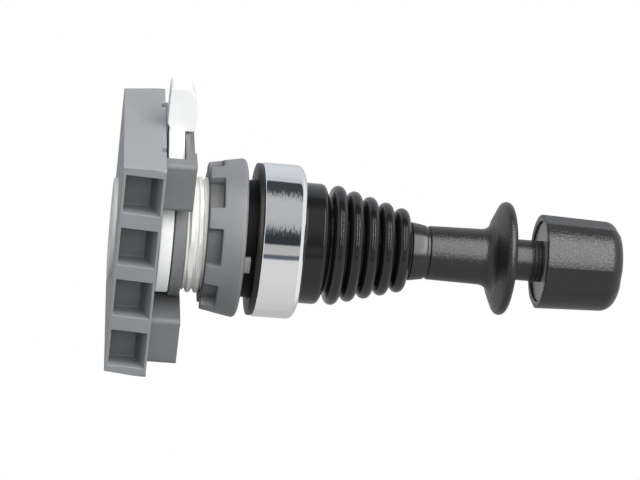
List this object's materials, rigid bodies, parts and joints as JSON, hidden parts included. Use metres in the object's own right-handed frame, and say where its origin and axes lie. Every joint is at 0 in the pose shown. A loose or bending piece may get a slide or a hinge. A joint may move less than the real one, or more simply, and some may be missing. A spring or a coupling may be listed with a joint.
{
  "type": "panel joystick",
  "caption": "Panel-mounted joystick: lever with pull-up interlock collar and knob, rubber bellows, chrome bezel, slotted ring nut and lever-locked contact block adapter.",
  "frame": {"origin": "on the stick's axis, in the plane of the panel's front face, which is the gasket's rear face", "axes": "+Z along the stick, out of the panel; -X towards the lock lever; -Y and +Y out of the adapter's two wide faces with the clip pockets"},
  "size_m": [0.0517, 0.0352, 0.0976],
  "materials": {
    "grey_plate": "light grey moulded plastic, satin",
    "grey_housing": "mid grey moulded plastic, satin",
    "white_sleeve": "off-white moulded plastic, slightly greenish, satin",
    "white_acetal": "milky white plastic, semi-gloss",
    "black_plastic": "black moulded plastic, satin",
    "key_grey": "light grey plastic, satin",
    "gasket_rubber": "black rubber, matt",
    "chrome": "polished chrome plate",
    "steel": "bright steel",
    "boot_rubber": "black rubber, satin",
    "nut_grey": "mid grey moulded plastic, satin",
    "gimbal_zinc": "die-cast, satin",
    "lever_black": "blackened steel, satin",
    "ring_black": "black plastic, glossy",
    "knob_black": "charcoal black plastic, fine texture",
    "disc_grey": "dark grey plastic, matt",
    "brass": "turned brass",
    "spring_steel": "spring wire, bright"
  },
  "bodies": {
    "mount_body": {"adapter_plate": "grey_plate", "coupling_housing": "grey_housing", "threaded_sleeve": "white_sleeve", "barrel_cap": "white_acetal", "guide_plate": "white_acetal", "joystick_head": "black_plastic", "key_nose": "key_grey", "gasket": "gasket_rubber", "bezel": "chrome", "spring_seat": "steel", "gimbal_pins": "steel", "boot": "boot_rubber"},
    "lock_ring": {"lock_ring": "white_acetal"},
    "panel_nut": {"panel_nut": "nut_grey"},
    "gimbal": {"gimbal_ring": "gimbal_zinc"},
    "lever": {"lever_shaft": "lever_black", "lever_pins": "steel", "swash_plate": "white_acetal", "spring_cap": "steel", "return_spring": "spring_steel", "boot_ring": "ring_black", "knob": "knob_black", "knob_disc": "disc_grey", "knob_bush": "brass"},
    "interlock": {"interlock_collar": "knob_black", "spring_washer": "steel", "lock_pin": "steel", "lock_rod": "steel", "interlock_spring": "spring_steel"},
    "plunger_xp": {"plunger_xp": "white_acetal"},
    "plunger_xn": {"plunger_xn": "white_acetal"},
    "plunger_yp": {"plunger_yp": "white_acetal"},
    "plunger_yn": {"plunger_yn": "white_acetal"}
  },
  "joints": [
    {"name": "lock_swing", "type": "hinge", "parent": "mount_body", "child": "lock_ring", "pos_m": [0, 0, -0.0166], "axis": [0, 0, 1], "range_deg": [-14, 0]},
    {"name": "nut_travel", "type": "slide", "parent": "mount_body", "child": "panel_nut", "axis": [0, 0, 1], "range_m": [-0.0033, 0.0009]},
    {"name": "lean_y", "type": "hinge", "parent": "mount_body", "child": "gimbal", "pos_m": [0, 0, 0.0026], "axis": [1, 0, 0], "range_deg": [-16, 16], "stiffness_Nm_per_rad": 0.5, "deforming": ["boot", "return_spring"]},
    {"name": "lean_x", "type": "hinge", "parent": "gimbal", "child": "lever", "pos_m": [0, 0, 0.0026], "axis": [0, 1, 0], "range_deg": [-16, 16], "stiffness_Nm_per_rad": 0.5, "deforming": ["boot", "return_spring"]},
    {"name": "collar_pull", "type": "slide", "parent": "lever", "child": "interlock", "axis": [0, 0, 1], "range_m": [0, 0.0045], "stiffness_N_per_m": 900, "springref_m": -0.003, "deforming": ["interlock_spring"]},
    {"name": "plunge_xp", "type": "slide", "parent": "mount_body", "child": "plunger_xp", "axis": [0, 0, 1], "range_m": [-0.0014, 0.0014]},
    {"name": "plunge_xn", "type": "slide", "parent": "mount_body", "child": "plunger_xn", "axis": [0, 0, 1], "range_m": [-0.0014, 0.0014]},
    {"name": "plunge_yp", "type": "slide", "parent": "mount_body", "child": "plunger_yp", "axis": [0, 0, 1], "range_m": [-0.0014, 0.0014]},
    {"name": "plunge_yn", "type": "slide", "parent": "mount_body", "child": "plunger_yn", "axis": [0, 0, 1], "range_m": [-0.0014, 0.0014]}
  ],
  "couplings": [
    {"joint": "plunge_xp", "follows": "lean_x", "m_per_rad": -0.0048},
    {"joint": "plunge_xn", "follows": "lean_x", "m_per_rad": 0.0048},
    {"joint": "plunge_yp", "follows": "lean_y", "m_per_rad": 0.0048},
    {"joint": "plunge_yn", "follows": "lean_y", "m_per_rad": -0.0048}
  ]
}
